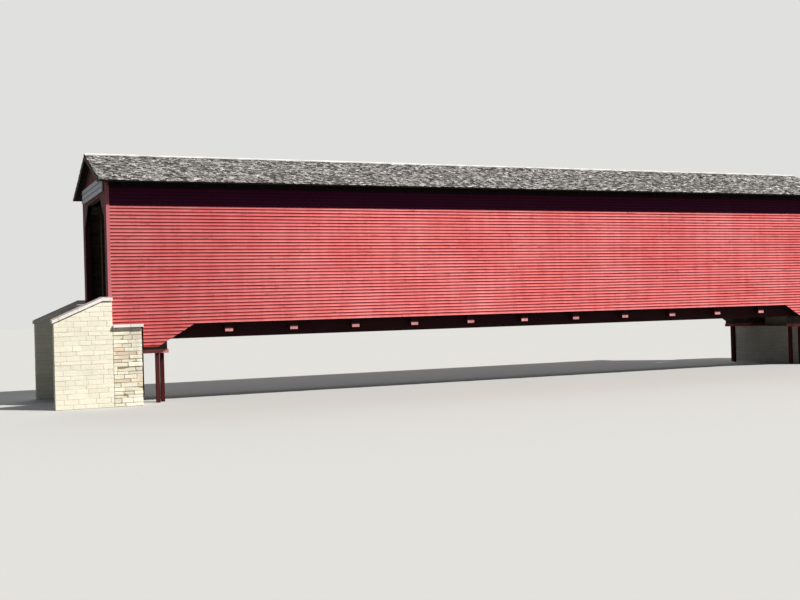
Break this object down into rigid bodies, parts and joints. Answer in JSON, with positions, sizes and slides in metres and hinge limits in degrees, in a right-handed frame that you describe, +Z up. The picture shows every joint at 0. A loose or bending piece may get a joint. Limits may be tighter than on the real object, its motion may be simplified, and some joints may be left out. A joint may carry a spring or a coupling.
{
  "type": "covered bridge",
  "caption": "Covered timber road bridge: Howe trusses inside red clapboard walls, a shingled gable roof, and stone abutments with wing walls and cheek piers.",
  "frame": {"origin": "middle of the base, on the level that the abutments and posts stand on", "axes": "+X along the road, +Y across it away from the pictured side, +Z up"},
  "size_m": [33.314, 6.052, 8.2074],
  "materials": {
    "limestone": "split face ashlar, dry",
    "coping_stone": "sawn slabs, weathered",
    "barn_red": "faded red paint, matt",
    "shade_red": "old red paint on rough boards",
    "bare_timber": "rough sawn, unpainted",
    "deck_plank": "worn, dusty",
    "shingle": "weathered grey",
    "iron": "dull, rusty",
    "pale_paint": "faded white paint"
  },
  "bodies": {
    "root": {"abutment_west": "limestone", "abutment_east": "limestone", "back_walls": "limestone", "wing_walls": "limestone", "cheek_walls": "limestone", "wing_copings": "coping_stone", "cheek_caps": "coping_stone", "bolsters": "shade_red", "bent_posts": "shade_red", "lower_chords": "shade_red", "chord_boards": "shade_red", "floor_beams": "shade_red", "lower_laterals_rising": "shade_red", "lower_laterals_falling": "shade_red", "portal_posts": "shade_red", "jamb_boards": "shade_red", "knee_boards": "shade_red", "gable_boards": "shade_red", "siding_front": "barn_red", "siding_back": "barn_red", "skirts": "barn_red", "corner_boards": "barn_red", "bearing_blocks": "bare_timber", "upper_chords": "bare_timber", "main_braces": "bare_timber", "counter_braces": "bare_timber", "stringers": "bare_timber", "tie_beams": "bare_timber", "upper_laterals_rising": "bare_timber", "upper_laterals_falling": "bare_timber", "wall_sills": "bare_timber", "wall_studs": "bare_timber", "wall_plates": "bare_timber", "skirt_hangers": "bare_timber", "rafters_front": "bare_timber", "rafters_back": "bare_timber", "rake_boards": "bare_timber", "deck": "deck_plank", "curbs": "deck_plank", "roof_front": "shingle", "roof_back": "shingle", "ridge_cap": "shingle", "truss_rods": "iron", "washer_plates": "iron", "rod_nuts": "iron", "angle_blocks": "iron", "sign_boards": "pale_paint"}
  },
  "joints": []
}
